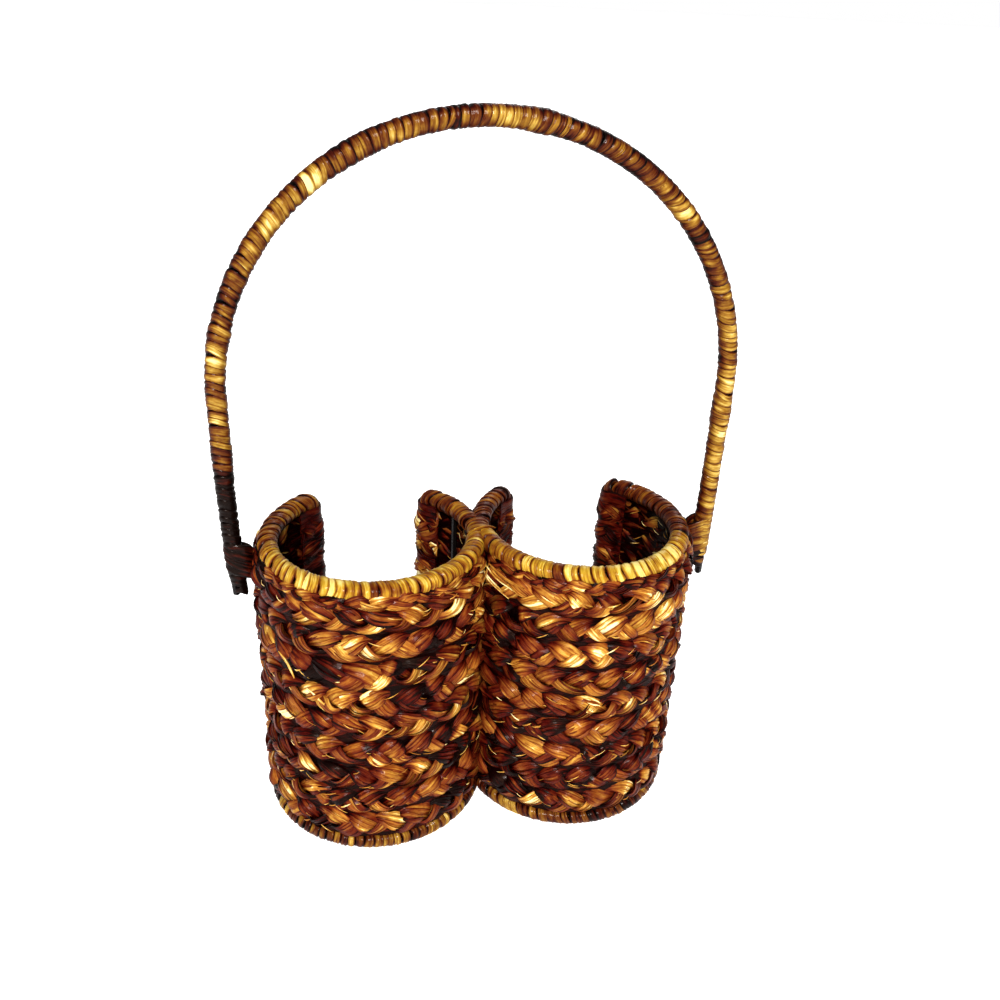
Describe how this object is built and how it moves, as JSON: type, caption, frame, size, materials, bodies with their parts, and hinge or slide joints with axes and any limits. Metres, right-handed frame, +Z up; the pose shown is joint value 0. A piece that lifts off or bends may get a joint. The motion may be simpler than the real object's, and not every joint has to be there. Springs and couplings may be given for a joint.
{
  "type": "wine bottle basket",
  "caption": "Carrying basket of plaited leaf on a wire frame: open-backed round bottle holders side by side under a wrapped arch handle.",
  "frame": {"origin": "on the table, midway between the axes of the two holders", "axes": "+X from the left holder to the right one as seen from the closed front, +Y towards the open slots at the back, +Z up"},
  "size_m": [0.248, 0.1123, 0.348],
  "materials": {
    "black_wire": "black satin paint on steel wire",
    "gold_leaf": "glossy varnished leaf strands, golden",
    "amber_leaf": "glossy varnished leaf strands, amber",
    "brown_leaf": "glossy varnished leaf strands, brown",
    "maroon_leaf": "glossy varnished leaf strands, dark maroon"
  },
  "bodies": {
    "root": {"left_top_ring": "black_wire", "left_base_ring": "black_wire", "left_stake_1": "black_wire", "left_stake_2": "black_wire", "left_stake_3": "black_wire", "left_stake_4": "black_wire", "left_stake_5": "black_wire", "left_cross_wire": "black_wire", "left_cross_wire_front": "black_wire", "left_cross_wire_back": "black_wire", "left_course_1": "maroon_leaf", "left_course_2": "brown_leaf", "left_course_3": "amber_leaf", "left_course_4": "brown_leaf", "left_course_5": "maroon_leaf", "left_course_6": "brown_leaf", "left_course_7": "amber_leaf", "left_course_8": "brown_leaf", "left_course_9": "maroon_leaf", "left_rim_wrap_front": "gold_leaf", "left_rim_wrap_back": "gold_leaf", "left_base_wrap": "amber_leaf", "left_base_mat": "brown_leaf", "right_top_ring": "black_wire", "right_base_ring": "black_wire", "right_stake_1": "black_wire", "right_stake_2": "black_wire", "right_stake_3": "black_wire", "right_stake_4": "black_wire", "right_stake_5": "black_wire", "right_cross_wire": "black_wire", "right_cross_wire_front": "black_wire", "right_cross_wire_back": "black_wire", "right_course_1": "maroon_leaf", "right_course_2": "brown_leaf", "right_course_3": "amber_leaf", "right_course_4": "brown_leaf", "right_course_5": "maroon_leaf", "right_course_6": "brown_leaf", "right_course_7": "amber_leaf", "right_course_8": "brown_leaf", "right_course_9": "maroon_leaf", "right_rim_wrap_front": "gold_leaf", "right_rim_wrap_back": "gold_leaf", "right_base_wrap": "amber_leaf", "right_base_mat": "brown_leaf", "rim_joint_wrap": "amber_leaf", "base_joint_wrap": "amber_leaf", "handle_outer_wire": "black_wire", "handle_inner_wire": "black_wire", "handle_wrap": "amber_leaf", "left_side_lashing": "maroon_leaf", "right_side_lashing": "maroon_leaf"}
  },
  "joints": []
}
